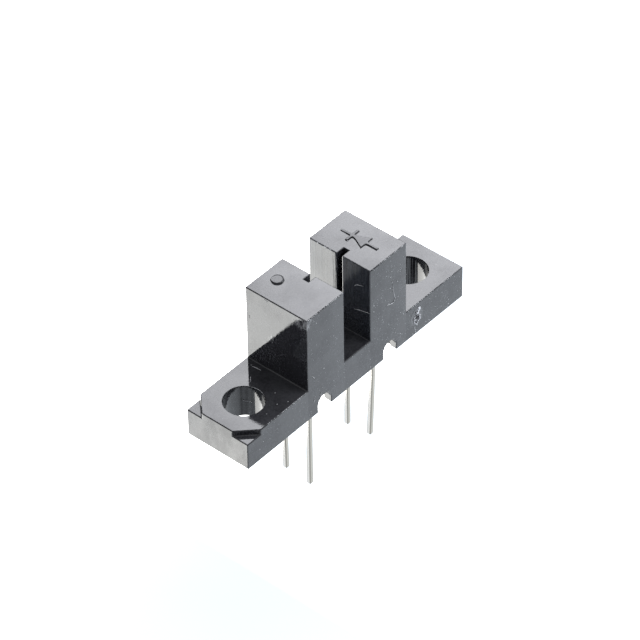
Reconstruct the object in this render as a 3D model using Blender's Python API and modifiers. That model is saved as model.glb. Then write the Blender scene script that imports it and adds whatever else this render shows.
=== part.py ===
"""Slotted optical switch: a black moulded housing with two flanges and two towers, an emitter in the
right tower and a detector in the left one, looking at each other across the slot.

Frame: metres, X along the length, Y through the depth with the front at -Y, Z up. The origin is the
centre of the housing's underside, which is the face that sits on the board.
"""
import math

import bmesh
import bpy
from mathutils import Matrix, Vector

MM = 0.001

# Housing, seen from the front
SLOT_WIDTH = 3.0 * MM            # gap between the towers
BODY_HEIGHT = 10.0 * MM          # underside to tower top
FLANGE_THICKNESS = 3.0 * MM
WEB_THICKNESS = 3.0 * MM         # material under the slot
OUTER_WALL = 1.175 * MM          # tower wall on the flange side
SLOT_WALL = 0.625 * MM           # plastic between the slot face and the lens channel
SIDE_WALL = 0.75 * MM            # front and back walls of each pocket
ROOF_THICKNESS = 0.9 * MM        # material over each pocket
EDGE_ROUND = 0.07 * MM

# Flanges
HOLE_DIAMETER = 3.2 * MM
HOLE_TO_TOWER = 3.8 * MM         # hole centre to the tower's outer face
HOLE_TO_END = 3.0 * MM           # hole centre to the flange's end
HOLE_RIM_ROUND = 0.08 * MM
HOLE_RIM_PROUD = 0.02 * MM       # the rim's rounding runs on past the face, so that it cuts cleanly
CORNER_CUT = 1.5 * MM            # the left flange's corners, along each edge
CORNER_STEP = 0.5 * MM           # how far they are cut down from the flange's top

# Marks and small features of the moulding
SLIT_WIDTH = 0.5 * MM
SLIT_BREAKTHROUGH = 0.175 * MM   # how far the slit reaches into the lens channel
SLIT_BELOW_AXIS = 2.2 * MM       # slit bottom below the optical axis
NOTCH_WIDTH = 1.5 * MM
NOTCH_HEIGHT = 1.4 * MM
NOTCH_OUTSET = 0.1 * MM          # notch centre beyond the row of leads
DOT_DIAMETER = 0.96 * MM         # without the rounded foot
DOT_HEIGHT = 0.1 * MM
DOT_FROM_BACK = 1.34 * MM        # dot centre to the tower's back face
GATE_DIAMETER = 1.3 * MM         # round recess where the plastic was let in
GATE_DEPTH = 0.1 * MM
GATE_TO_TOWER = 1.2 * MM
GATE_HEIGHT = 1.85 * MM

# Epoxy packages
PACKAGE_WIDTH = 4.4 * MM
PACKAGE_HEIGHT = 5.6 * MM
PACKAGE_THICKNESS = 1.55 * MM
PACKAGE_CORNER = 0.25 * MM
PACKAGE_DRAFT = math.radians(4.0)
LENS_DIAMETER = 1.6 * MM
LENS_REACH = 0.7 * MM            # lens tip beyond the package's face
LENS_FROM_TOP = 1.4 * MM         # optical axis below the package's top
POCKET_CLEARANCE = 0.05 * MM
LENS_CLEARANCE = 0.1 * MM
MOUTH_FLARE = 0.2 * MM           # lead-in chamfer at each pocket's mouth

# Lead frames
LEAD_SIZE = 0.4 * MM             # square section, and the thickness of the sheet
LEAD_PITCH = 2.54 * MM           # between the two leads of a package
LEAD_LENGTH = 9.0 * MM           # below the underside
LONG_LEAD_EXTRA = 0.65 * MM      # the cathode lead is cut longer
LEAD_BEND_DEPTH = 3.0 * MM       # where a lead knocked out of line starts to lean
LEAD_EDGE_ROUND = 0.09 * MM
FRONT_LEAD_DRIFT = 0.3 * MM      # sideways lean at the tip of the emitter's front lead
REAR_LEAD_DRIFT = 0.15 * MM      # and of the detector's rear lead
PAD_HEIGHT = 1.1 * MM            # chip pad, centred on the optical axis
PAD_REACH = 0.55 * MM            # pad edge beyond the optical axis
LANDING_GAP = 0.3 * MM           # between the pad and the wire's landing
LANDING_HEIGHT = 0.9 * MM
BARB_REACH = 0.3 * MM            # barbs that lock a lead into the epoxy
BARB_HEIGHT = 0.5 * MM
BARB_FROM_BOTTOM = 0.8 * MM

# Chips and wires
CUP_DIAMETER = 0.8 * MM
CUP_DEPTH = 0.15 * MM
CUP_FLOOR_DIAMETER = 0.5 * MM
EMITTER_CHIP_SIZE = 0.3 * MM
EMITTER_CHIP_HEIGHT = 0.2 * MM
DETECTOR_CHIP_SIZE = 0.6 * MM
DETECTOR_CHIP_HEIGHT = 0.25 * MM
WIRE_DIAMETER = 0.05 * MM
WIRE_LOOP = 0.12 * MM            # how far the wire's arch rises above the chip
SEAT_GAP = 0.02 * MM             # glue or solder line under a chip or a wire's end
EPOXY_GAP = 0.03 * MM            # clearance of the epoxy round what it encloses

# How finely curves are divided, and how far cutters pass the face they open
HOLE_SEGMENTS = 96
ARC_SEGMENTS = 24
LENS_SEGMENTS = 32
CORNER_SEGMENTS = 4
WIRE_STEPS = 14
OVERSHOOT = 1.0 * MM
MERGE_DISTANCE = 0.0005 * MM
FLAT_ANGLE = math.radians(0.5)     # faces nearer to flat than this are one face
SHARP_ANGLE = math.radians(40.0)   # edges sharper than this are rounded

# Sizes that follow from those above
POCKET_DEPTH = PACKAGE_WIDTH + 2 * POCKET_CLEARANCE
BODY_DEPTH = POCKET_DEPTH + 2 * SIDE_WALL
LEAD_X = SLOT_WIDTH / 2 + SLOT_WALL + LENS_CLEARANCE + LENS_REACH + PACKAGE_THICKNESS / 2
TOWER_OUTER_X = LEAD_X + PACKAGE_THICKNESS / 2 + POCKET_CLEARANCE + OUTER_WALL
HOLE_X = TOWER_OUTER_X + HOLE_TO_TOWER
END_X = HOLE_X + HOLE_TO_END
POCKET_TOP = BODY_HEIGHT - ROOF_THICKNESS
PACKAGE_TOP = POCKET_TOP - POCKET_CLEARANCE
PACKAGE_BOTTOM = PACKAGE_TOP - PACKAGE_HEIGHT
AXIS_Z = PACKAGE_TOP - LENS_FROM_TOP


def clear_scene():
    """Removes whatever the open file holds."""
    for item in list(bpy.data.objects):
        bpy.data.objects.remove(item, do_unlink=True)


def make_collection(name):
    collection = bpy.data.collections.new(name)
    bpy.context.scene.collection.children.link(collection)
    return collection


def make_material(name, colour, roughness, metallic=0.0, transmission=0.0):
    material = bpy.data.materials.new(name)
    material.use_nodes = True
    shader = material.node_tree.nodes["Principled BSDF"]
    shader.inputs["Base Color"].default_value = (*colour, 1.0)
    shader.inputs["Roughness"].default_value = roughness
    shader.inputs["Metallic"].default_value = metallic
    shader.inputs["Transmission Weight"].default_value = transmission
    return material


def mesh_object(name, bm, collection, parent=None):
    """Turns a bmesh into an object, with its faces pointing outwards."""
    bmesh.ops.recalc_face_normals(bm, faces=bm.faces)
    if bm.calc_volume(signed=True) < 0.0:
        bmesh.ops.reverse_faces(bm, faces=bm.faces)
    mesh = bpy.data.meshes.new(name)
    bm.to_mesh(mesh)
    bm.free()
    item = bpy.data.objects.new(name, mesh)
    item.parent = parent
    collection.objects.link(item)
    if collection is cutters:
        item.hide_render = True
        item.display_type = "WIRE"
    return item


def arc(centre, radius, start_deg, end_deg, steps):
    """Points along a circle's arc, both ends included."""
    angles = [math.radians(start_deg + (end_deg - start_deg) * i / steps) for i in range(steps + 1)]
    return [(centre[0] + radius * math.cos(a), centre[1] + radius * math.sin(a)) for a in angles]


# Turns that stand a flat outline, drawn in X and Y, up in the plane named
PLANE_TURN = {
    "XY": Matrix.Identity(4),
    "XZ": Matrix.Rotation(math.pi / 2, 4, "X"),
    "YZ": Matrix(((0, 0, 1, 0), (1, 0, 0, 0), (0, 1, 0, 0), (0, 0, 0, 1))),
}


def prism(outline, plane, thickness, centre):
    """A bmesh of a flat outline in the plane named, as thick as asked, with its middle at centre."""
    curve = bpy.data.curves.new("outline", "CURVE")
    curve.dimensions = "2D"
    curve.fill_mode = "BOTH"
    curve.extrude = thickness / 2
    spline = curve.splines.new("POLY")
    spline.points.add(len(outline) - 1)
    for point, (u, v) in zip(spline.points, outline):
        point.co = (u, v, 0.0, 1.0)
    spline.use_cyclic_u = True
    guide = bpy.data.objects.new("outline", curve)
    bpy.context.scene.collection.objects.link(guide)
    evaluated = guide.evaluated_get(bpy.context.evaluated_depsgraph_get())
    mesh = bpy.data.meshes.new_from_object(evaluated)
    bm = bmesh.new()
    bm.from_mesh(mesh)
    bpy.data.objects.remove(guide, do_unlink=True)
    bpy.data.meshes.remove(mesh)
    bmesh.ops.remove_doubles(bm, verts=bm.verts, dist=MERGE_DISTANCE)
    bmesh.ops.dissolve_limit(bm, angle_limit=FLAT_ANGLE, verts=bm.verts, edges=bm.edges)
    bm.transform(Matrix.Translation(centre) @ PLANE_TURN[plane])
    return bm


def block(low, high):
    """A bmesh box between two corners."""
    low, high = Vector(low), Vector(high)
    bm = bmesh.new()
    bmesh.ops.create_cube(bm, size=1.0)
    bmesh.ops.scale(bm, vec=high - low, verts=bm.verts)
    bmesh.ops.translate(bm, vec=(low + high) / 2, verts=bm.verts)
    return bm


def add_boolean(target, cutter, operation="DIFFERENCE"):
    modifier = target.modifiers.new(cutter.name, "BOOLEAN")
    modifier.object = cutter
    modifier.operation = operation
    modifier.solver = "EXACT"


def add_bevel(target, width, segments=2):
    modifier = target.modifiers.new("edge_round", "BEVEL")
    modifier.width = width
    modifier.segments = segments
    modifier.limit_method = "ANGLE"
    modifier.angle_limit = SHARP_ANGLE


def housing_outline():
    """Front view: two flanges, two towers and the slot between them."""
    half_slot = SLOT_WIDTH / 2
    right = [
        (END_X, 0.0), (END_X, FLANGE_THICKNESS), (TOWER_OUTER_X, FLANGE_THICKNESS),
        (TOWER_OUTER_X, BODY_HEIGHT), (half_slot, BODY_HEIGHT), (half_slot, WEB_THICKNESS),
    ]
    left = [(-x, z) for x, z in reversed(right)]
    return right + left


def add_corner_cut(housing, side):
    """Cuts one corner of the left flange down, at 45 degrees across the corner."""
    corner = Vector((-END_X, side * BODY_DEPTH / 2))
    reach = CORNER_CUT + OVERSHOOT
    outline = [
        (corner.x - OVERSHOOT, corner.y - side * reach),
        (corner.x + reach, corner.y + side * OVERSHOOT),
        (corner.x - OVERSHOOT, corner.y + side * OVERSHOOT),
    ]
    height = CORNER_STEP + OVERSHOOT
    middle = (0.0, 0.0, FLANGE_THICKNESS - CORNER_STEP + height / 2)
    name = "corner_cut_front" if side < 0 else "corner_cut_back"
    add_boolean(housing, mesh_object(name, prism(outline, "XY", height, middle), cutters))


def add_notch(housing, name, x):
    """An arch through the bottom edge of the front and back walls."""
    radius = NOTCH_WIDTH / 2
    crown = arc((x, NOTCH_HEIGHT - radius), radius, 0.0, 180.0, ARC_SEGMENTS)
    outline = [(x + radius, -OVERSHOOT)] + crown + [(x - radius, -OVERSHOOT)]
    length = BODY_DEPTH + 2 * OVERSHOOT
    add_boolean(housing, mesh_object(name, prism(outline, "XZ", length, (0.0, 0.0, 0.0)), cutters))


def add_slit(housing, name, frame):
    """The narrow groove in a tower's slot face that lets the beam through."""
    slot_face = SLOT_WIDTH / 2 - LEAD_X
    groove_end = slot_face + SLOT_WALL + SLIT_BREAKTHROUGH
    low = (slot_face - SLOT_WIDTH / 2, -SLIT_WIDTH / 2, AXIS_Z - SLIT_BELOW_AXIS)
    high = (groove_end, SLIT_WIDTH / 2, BODY_HEIGHT + OVERSHOOT)
    add_boolean(housing, mesh_object(name, block(low, high), cutters, frame))


def add_pocket(housing, name, frame):
    """The pocket for a package, open at the bottom, with a chamfered mouth and a channel for the lens."""
    half_x = PACKAGE_THICKNESS / 2 + POCKET_CLEARANCE
    half_y = POCKET_DEPTH / 2
    pocket = block((-half_x, -half_y, -OVERSHOOT), (half_x, half_y, POCKET_TOP))
    add_boolean(housing, mesh_object(name, pocket, cutters, frame))

    mouth = block((-half_x, -half_y, -MOUTH_FLARE), (half_x, half_y, MOUTH_FLARE))
    spread = 2 * MOUTH_FLARE
    for vertex in mouth.verts:
        if vertex.co.z < 0.0:
            vertex.co.x += math.copysign(spread, vertex.co.x)
            vertex.co.y += math.copysign(spread, vertex.co.y)
    add_boolean(housing, mesh_object(name + "_mouth", mouth, cutters, frame))

    radius = LENS_DIAMETER / 2 + LENS_CLEARANCE
    crown = arc((0.0, AXIS_Z), radius, 0.0, 180.0, ARC_SEGMENTS)
    outline = [(radius, -OVERSHOOT)] + crown + [(-radius, -OVERSHOOT)]
    channel_end = -PACKAGE_THICKNESS / 2 - LENS_REACH - LENS_CLEARANCE
    channel = prism(outline, "YZ", -channel_end, (channel_end / 2, 0.0, 0.0))
    add_boolean(housing, mesh_object(name + "_lens_channel", channel, cutters, frame))


def add_hole(housing, name, x):
    """A mounting hole: a turned cutter whose ends flare into the rounded rims."""
    radius = HOLE_DIAMETER / 2
    flare = radius + HOLE_RIM_ROUND
    rim_depth = HOLE_RIM_ROUND - HOLE_RIM_PROUD
    top_arc = arc((flare, FLANGE_THICKNESS - rim_depth), HOLE_RIM_ROUND, 90.0, 180.0, CORNER_SEGMENTS)
    low_arc = arc((flare, rim_depth), HOLE_RIM_ROUND, 180.0, 270.0, CORNER_SEGMENTS)
    profile = [(0.0, FLANGE_THICKNESS + OVERSHOOT), (flare, FLANGE_THICKNESS + OVERSHOOT)]
    profile += top_arc + low_arc + [(flare, -OVERSHOOT), (0.0, -OVERSHOOT)]
    mesh = bpy.data.meshes.new(name)
    edges = [(i, i + 1) for i in range(len(profile) - 1)]
    mesh.from_pydata([(r, 0.0, z) for r, z in profile], edges, [])
    cutter = bpy.data.objects.new(name, mesh)
    cutter.location = (x, 0.0, 0.0)
    cutter.hide_render = True
    cutter.display_type = "WIRE"
    cutters.objects.link(cutter)
    screw = cutter.modifiers.new("turn", "SCREW")
    screw.steps = HOLE_SEGMENTS
    screw.render_steps = HOLE_SEGMENTS
    screw.use_merge_vertices = True
    screw.merge_threshold = MERGE_DISTANCE
    add_boolean(housing, cutter)


def add_dot(housing):
    """The raised round dot on the detector's tower."""
    bm = bmesh.new()
    radius = DOT_DIAMETER / 2
    depth = DOT_HEIGHT + EDGE_ROUND
    bmesh.ops.create_cone(
        bm, cap_ends=True, segments=2 * ARC_SEGMENTS, radius1=radius, radius2=radius, depth=depth)
    tower_middle = -(SLOT_WIDTH / 2 + TOWER_OUTER_X) / 2
    place = (tower_middle, BODY_DEPTH / 2 - DOT_FROM_BACK, BODY_HEIGHT + DOT_HEIGHT - depth / 2)
    bmesh.ops.translate(bm, vec=place, verts=bm.verts)
    add_boolean(housing, mesh_object("raised_dot", bm, cutters), "UNION")


def add_gate_recess(housing):
    """The shallow round recess in the front face beside the right tower."""
    bm = bmesh.new()
    depth = GATE_DEPTH + OVERSHOOT
    radius = GATE_DIAMETER / 2
    bmesh.ops.create_cone(
        bm, cap_ends=True, segments=2 * ARC_SEGMENTS, radius1=radius, radius2=radius, depth=depth)
    bm.transform(PLANE_TURN["XZ"])
    place = (TOWER_OUTER_X + GATE_TO_TOWER, -BODY_DEPTH / 2 + GATE_DEPTH - depth / 2, GATE_HEIGHT)
    bmesh.ops.translate(bm, vec=place, verts=bm.verts)
    add_boolean(housing, mesh_object("gate_recess", bm, cutters))


def build_housing():
    outline = prism(housing_outline(), "XZ", BODY_DEPTH, (0.0, 0.0, 0.0))
    housing = mesh_object("housing", outline, parts)
    for side in (-1, 1):
        add_corner_cut(housing, side)
    add_notch(housing, "detector_notch", -LEAD_X - NOTCH_OUTSET)
    add_notch(housing, "emitter_notch", LEAD_X + NOTCH_OUTSET)
    add_slit(housing, "emitter_slit", emitter_frame)
    add_slit(housing, "detector_slit", detector_frame)
    add_bevel(housing, EDGE_ROUND)
    add_pocket(housing, "emitter_pocket", emitter_frame)
    add_pocket(housing, "detector_pocket", detector_frame)
    add_hole(housing, "left_hole", -HOLE_X)
    add_hole(housing, "right_hole", HOLE_X)
    add_dot(housing)
    add_gate_recess(housing)
    housing.data.materials.append(black_plastic)
    return housing


def pad_lead_outline(tip_z, grow=0.0):
    """Lead frame piece at +Y that carries the chip: a straight lead, a barb and a square pad."""
    inner = LEAD_PITCH / 2 - LEAD_SIZE / 2 - grow
    outer = LEAD_PITCH / 2 + LEAD_SIZE / 2 + grow
    pad_low = AXIS_Z - PAD_HEIGHT / 2 - grow
    pad_high = AXIS_Z + PAD_HEIGHT / 2 + grow
    barb_low = PACKAGE_BOTTOM + BARB_FROM_BOTTOM - grow
    barb_high = barb_low + BARB_HEIGHT + 2 * grow
    barb = outer + BARB_REACH
    return [
        (inner, tip_z), (outer, tip_z), (outer, barb_low), (barb, barb_low), (barb, barb_high),
        (outer, barb_high), (outer, pad_high), (-PAD_REACH - grow, pad_high),
        (-PAD_REACH - grow, pad_low), (inner, pad_low),
    ]


def landing_lead_outline(tip_z, grow=0.0):
    """Lead frame piece at -Y that takes the wire: a straight lead, a barb and a small landing."""
    inner = -LEAD_PITCH / 2 + LEAD_SIZE / 2 + grow
    outer = -LEAD_PITCH / 2 - LEAD_SIZE / 2 - grow
    landing = -PAD_REACH - LANDING_GAP + grow
    low = AXIS_Z - LANDING_HEIGHT / 2 - grow
    high = AXIS_Z + LANDING_HEIGHT / 2 + grow
    barb_low = PACKAGE_BOTTOM + BARB_FROM_BOTTOM - grow
    barb_high = barb_low + BARB_HEIGHT + 2 * grow
    barb = outer - BARB_REACH
    return [
        (outer, tip_z), (inner, tip_z), (inner, low), (landing, low), (landing, high), (outer, high),
        (outer, barb_high), (barb, barb_high), (barb, barb_low), (outer, barb_low),
    ]


def build_lead(name, outline_function, length, drift, frame):
    """One lead frame piece, stamped from sheet, its free end leaning by drift along X."""
    bm = prism(outline_function(-length), "YZ", LEAD_SIZE, (0.0, 0.0, 0.0))
    geometry = bm.verts[:] + bm.edges[:] + bm.faces[:]
    bend = (0.0, 0.0, -LEAD_BEND_DEPTH)
    bmesh.ops.bisect_plane(bm, geom=geometry, plane_co=bend, plane_no=(0.0, 0.0, 1.0))
    for vertex in bm.verts:
        below = -LEAD_BEND_DEPTH - vertex.co.z
        if below > 0.0:
            vertex.co.x += drift * below / (length - LEAD_BEND_DEPTH)
    lead = mesh_object(name, bm, parts, frame)
    add_bevel(lead, LEAD_EDGE_ROUND)
    lead.data.materials.append(tinned_metal)
    return lead


def build_cup(lead, frame):
    """The small conical cup that the emitter's chip sits in."""
    bm = bmesh.new()
    slope = (CUP_DIAMETER - CUP_FLOOR_DIAMETER) / 2 / CUP_DEPTH
    depth = CUP_DEPTH + LEAD_SIZE
    mouth = CUP_FLOOR_DIAMETER / 2 + slope * depth
    bmesh.ops.create_cone(
        bm, cap_ends=True, segments=ARC_SEGMENTS, radius1=CUP_FLOOR_DIAMETER / 2, radius2=mouth, depth=depth)
    bm.transform(Matrix.Rotation(-math.pi / 2, 4, "Y"))
    bmesh.ops.translate(bm, vec=(-LEAD_SIZE / 2 + CUP_DEPTH - depth / 2, 0.0, AXIS_Z), verts=bm.verts)
    add_boolean(lead, mesh_object("chip_cup", bm, cutters, frame))


def chip_block(seat_x, size, height, grow=0.0):
    """A chip on the optical axis, standing on the plane x = seat_x and facing the slot."""
    half = size / 2 + grow
    return block((seat_x - height - grow, -half, AXIS_Z - half), (seat_x, half, AXIS_Z + half))


def wire_path(start_x):
    """Half an ellipse from the chip's top to the landing, with its arch towards the slot."""
    end_x = -LEAD_SIZE / 2 - SEAT_GAP - WIRE_DIAMETER / 2
    end_y = (-PAD_REACH - LANDING_GAP - LEAD_PITCH / 2 - LEAD_SIZE / 2) / 2
    points = []
    for step in range(WIRE_STEPS + 1):
        share = step / WIRE_STEPS
        sweep = (1.0 - math.cos(math.pi * share)) / 2
        x = start_x + (end_x - start_x) * sweep - WIRE_LOOP * math.sin(math.pi * share)
        points.append(Vector((x, end_y * sweep, AXIS_Z)))
    return points


def wire_mesh(points, radius):
    """A round wire along the points, as a closed bmesh."""
    curve = bpy.data.curves.new("wire", "CURVE")
    curve.dimensions = "3D"
    curve.bevel_depth = radius
    curve.bevel_resolution = 2
    curve.use_fill_caps = True
    spline = curve.splines.new("POLY")
    spline.points.add(len(points) - 1)
    for point, place in zip(spline.points, points):
        point.co = (*place, 1.0)
    guide = bpy.data.objects.new("wire", curve)
    bpy.context.scene.collection.objects.link(guide)
    evaluated = guide.evaluated_get(bpy.context.evaluated_depsgraph_get())
    mesh = bpy.data.meshes.new_from_object(evaluated)
    bm = bmesh.new()
    bm.from_mesh(mesh)
    bpy.data.objects.remove(guide, do_unlink=True)
    bpy.data.meshes.remove(mesh)
    bmesh.ops.remove_doubles(bm, verts=bm.verts, dist=MERGE_DISTANCE)
    return bm


def package_outline():
    """The package seen along its optical axis: a rectangle with rounded corners."""
    half = PACKAGE_WIDTH / 2 - PACKAGE_CORNER
    top, bottom = PACKAGE_TOP - PACKAGE_CORNER, PACKAGE_BOTTOM + PACKAGE_CORNER
    corners = [((half, bottom), 270), ((half, top), 0), ((-half, top), 90), ((-half, bottom), 180)]
    points = []
    for centre, start in corners:
        points += arc(centre, PACKAGE_CORNER, start, start + 90, CORNER_SEGMENTS)
    return points


def build_package(name, frame, material):
    """The epoxy body: a slab with draft from its parting line, and a domed lens towards the slot."""
    bm = prism(package_outline(), "YZ", PACKAGE_THICKNESS, (0.0, 0.0, 0.0))
    geometry = bm.verts[:] + bm.edges[:] + bm.faces[:]
    bmesh.ops.bisect_plane(bm, geom=geometry, plane_co=(0.0, 0.0, 0.0), plane_no=(1.0, 0.0, 0.0))
    middle_z = (PACKAGE_TOP + PACKAGE_BOTTOM) / 2
    inset = math.tan(PACKAGE_DRAFT)
    for vertex in bm.verts:
        off = abs(vertex.co.x)
        vertex.co.y *= 1.0 - inset * off / (PACKAGE_WIDTH / 2)
        vertex.co.z = middle_z + (vertex.co.z - middle_z) * (1.0 - inset * off / (PACKAGE_HEIGHT / 2))
    package = mesh_object(name, bm, parts, frame)

    dome = bmesh.new()
    radius = LENS_DIAMETER / 2
    bmesh.ops.create_uvsphere(dome, u_segments=LENS_SEGMENTS, v_segments=LENS_SEGMENTS // 2, radius=radius)
    bmesh.ops.rotate(dome, matrix=Matrix.Rotation(math.pi / 2, 3, "Y"), verts=dome.verts)
    dome_x = -PACKAGE_THICKNESS / 2 - LENS_REACH + radius
    bmesh.ops.translate(dome, vec=(dome_x, 0.0, AXIS_Z), verts=dome.verts)
    add_boolean(package, mesh_object(name + "_lens", dome, cutters, frame), "UNION")
    package.data.materials.append(material)
    return package


def hollow_package(package, seat_x, chip_size, chip_height, points, frame):
    """Clears the package of the lead frame, chip and wire that it was cast around."""
    below = PACKAGE_BOTTOM - OVERSHOOT
    thickness = LEAD_SIZE + 2 * EPOXY_GAP
    spaces = {
        "_pad_space": prism(pad_lead_outline(below, EPOXY_GAP), "YZ", thickness, (0.0, 0.0, 0.0)),
        "_landing_space": prism(landing_lead_outline(below, EPOXY_GAP), "YZ", thickness, (0.0, 0.0, 0.0)),
        "_chip_space": chip_block(seat_x, chip_size, chip_height, EPOXY_GAP),
        "_wire_space": wire_mesh(points, WIRE_DIAMETER / 2 + EPOXY_GAP),
    }
    for suffix, bm in spaces.items():
        add_boolean(package, mesh_object(package.name + suffix, bm, cutters, frame))


def build_emitter(frame):
    """The infrared emitter: cathode lead with its cup, anode lead, chip, wire and clear package."""
    long_lead = LEAD_LENGTH + LONG_LEAD_EXTRA
    cathode = build_lead("emitter_cathode_lead", pad_lead_outline, long_lead, 0.0, frame)
    build_cup(cathode, frame)
    build_lead("emitter_anode_lead", landing_lead_outline, LEAD_LENGTH, -FRONT_LEAD_DRIFT, frame)
    seat = -LEAD_SIZE / 2 + CUP_DEPTH - SEAT_GAP
    bm = chip_block(seat, EMITTER_CHIP_SIZE, EMITTER_CHIP_HEIGHT)
    mesh_object("emitter_chip", bm, parts, frame).data.materials.append(chip_metal)
    points = wire_path(seat - EMITTER_CHIP_HEIGHT - SEAT_GAP - WIRE_DIAMETER / 2)
    wire = mesh_object("emitter_bond_wire", wire_mesh(points, WIRE_DIAMETER / 2), parts, frame)
    wire.data.materials.append(gold)
    package = build_package("emitter_package", frame, clear_epoxy)
    hollow_package(package, seat, EMITTER_CHIP_SIZE, EMITTER_CHIP_HEIGHT, points, frame)


def build_detector(frame):
    """The phototransistor: collector lead with its pad, emitter lead, chip, wire and dark package."""
    build_lead("detector_collector_lead", pad_lead_outline, LEAD_LENGTH, 0.0, frame)
    build_lead("detector_emitter_lead", landing_lead_outline, LEAD_LENGTH, -REAR_LEAD_DRIFT, frame)
    seat = -LEAD_SIZE / 2 - SEAT_GAP
    bm = chip_block(seat, DETECTOR_CHIP_SIZE, DETECTOR_CHIP_HEIGHT)
    mesh_object("detector_chip", bm, parts, frame).data.materials.append(chip_silicon)
    points = wire_path(seat - DETECTOR_CHIP_HEIGHT - SEAT_GAP - WIRE_DIAMETER / 2)
    wire = mesh_object("detector_bond_wire", wire_mesh(points, WIRE_DIAMETER / 2), parts, frame)
    wire.data.materials.append(gold)
    package = build_package("detector_package", frame, dark_epoxy)
    hollow_package(package, seat, DETECTOR_CHIP_SIZE, DETECTOR_CHIP_HEIGHT, points, frame)


def make_frame(name, x, turn):
    """An empty on the underside at a row of leads; its -X side faces the slot."""
    frame = bpy.data.objects.new(name, None)
    frame.location = (x, 0.0, 0.0)
    frame.rotation_euler = (0.0, 0.0, turn)
    bpy.context.scene.collection.objects.link(frame)
    return frame


clear_scene()
parts = make_collection("slotted_optical_switch")
cutters = make_collection("cutters")
black_plastic = make_material("black_plastic", (0.012, 0.012, 0.014), 0.18)
tinned_metal = make_material("tinned_metal", (0.62, 0.61, 0.58), 0.32, metallic=1.0)
clear_epoxy = make_material("clear_epoxy", (0.80, 0.84, 0.90), 0.08, transmission=0.9)
dark_epoxy = make_material("dark_epoxy", (0.03, 0.012, 0.02), 0.10, transmission=0.3)
chip_metal = make_material("chip_metal", (0.20, 0.17, 0.16), 0.30, metallic=0.6)
chip_silicon = make_material("chip_silicon", (0.10, 0.11, 0.14), 0.25, metallic=0.4)
gold = make_material("gold", (0.83, 0.60, 0.22), 0.25, metallic=1.0)
emitter_frame = make_frame("emitter_frame", LEAD_X, 0.0)
detector_frame = make_frame("detector_frame", -LEAD_X, math.pi)
build_housing()
build_emitter(emitter_frame)
build_detector(detector_frame)
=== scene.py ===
"""Dresses a slotted optical switch: finishes for its moulded and metal parts, small marks, light and camera.

Lengths are in metres. The housing's underside is at Z = 0, the front looks along -Y, the leads point down.
"""
import math
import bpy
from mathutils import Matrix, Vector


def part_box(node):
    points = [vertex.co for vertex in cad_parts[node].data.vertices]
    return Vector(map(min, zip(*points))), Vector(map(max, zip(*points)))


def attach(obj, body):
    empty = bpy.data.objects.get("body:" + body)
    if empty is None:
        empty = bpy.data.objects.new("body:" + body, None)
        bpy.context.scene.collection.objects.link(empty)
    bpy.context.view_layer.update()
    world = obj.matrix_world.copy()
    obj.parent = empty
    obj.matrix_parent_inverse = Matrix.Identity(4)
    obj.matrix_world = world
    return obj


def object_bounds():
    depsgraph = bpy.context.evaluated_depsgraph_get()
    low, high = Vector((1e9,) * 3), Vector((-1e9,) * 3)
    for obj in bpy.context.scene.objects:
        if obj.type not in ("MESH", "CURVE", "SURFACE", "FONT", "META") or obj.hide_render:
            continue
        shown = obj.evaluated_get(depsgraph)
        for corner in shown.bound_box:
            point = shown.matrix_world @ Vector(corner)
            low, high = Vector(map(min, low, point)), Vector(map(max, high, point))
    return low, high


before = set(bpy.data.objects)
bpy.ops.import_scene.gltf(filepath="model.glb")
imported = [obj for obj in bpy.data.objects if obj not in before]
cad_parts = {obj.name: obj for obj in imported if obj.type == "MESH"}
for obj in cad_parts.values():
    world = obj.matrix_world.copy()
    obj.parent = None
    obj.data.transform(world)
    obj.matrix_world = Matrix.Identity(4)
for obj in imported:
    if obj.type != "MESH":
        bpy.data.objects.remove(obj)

from types import SimpleNamespace

import bpy
import numpy as np
from bpy.props import FloatProperty, FloatVectorProperty, IntProperty, PointerProperty
from mathutils import Matrix, Vector

CAD_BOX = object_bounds()

bl_info = {
    "name": "Slotted optical switch",
    "version": (1, 0, 0),
    "blender": (4, 5, 0),
    "location": "3D View > Sidebar > Switch",
    "description": "Finishes a slotted optical switch and sets it on a lit floor",
    "category": "Add Mesh",
}

MM = 0.001
BODY = "root"
ROOF = 0.95 * MM  # from a package's top to its tower's top
TOWER_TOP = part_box("detector_package")[1].z + ROOF
HOUSING_LOW, HOUSING_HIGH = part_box("housing")
FRONT = HOUSING_LOW.y
FLANGE_TOP = 3.0 * MM
SLOT_HALF = 1.5 * MM
TOWER_EDGE = 5.7 * MM
HOLE_X = 9.5 * MM
HOLE_RADIUS = 1.6 * MM
SATIN = 0.28  # roughness added to the tops of the sign and of the dot's cap


def size(name, text, default):
    """A length that a user may change, in metres."""
    return FloatProperty(name=name, description=text, default=default, unit="LENGTH", precision=6)


def amount(name, text, default, high=1.0):
    """A plain number that a user may change."""
    return FloatProperty(name=name, description=text, default=default, min=0.0, soft_max=high)


def angle(name, text, degrees):
    """An angle that a user may change."""
    return FloatProperty(name=name, description=text, default=math.radians(degrees), subtype="ANGLE")


def colour(name, text, default):
    """A colour that a user may change, in linear red, green and blue."""
    return FloatVectorProperty(
        name=name, description=text, default=default, subtype="COLOR", size=3, min=0.0, max=1.0
    )


def place(name, text, default):
    """A point that a user may change, in metres."""
    return FloatVectorProperty(
        name=name, description=text, default=default, subtype="TRANSLATION", size=len(default), precision=6
    )


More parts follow.
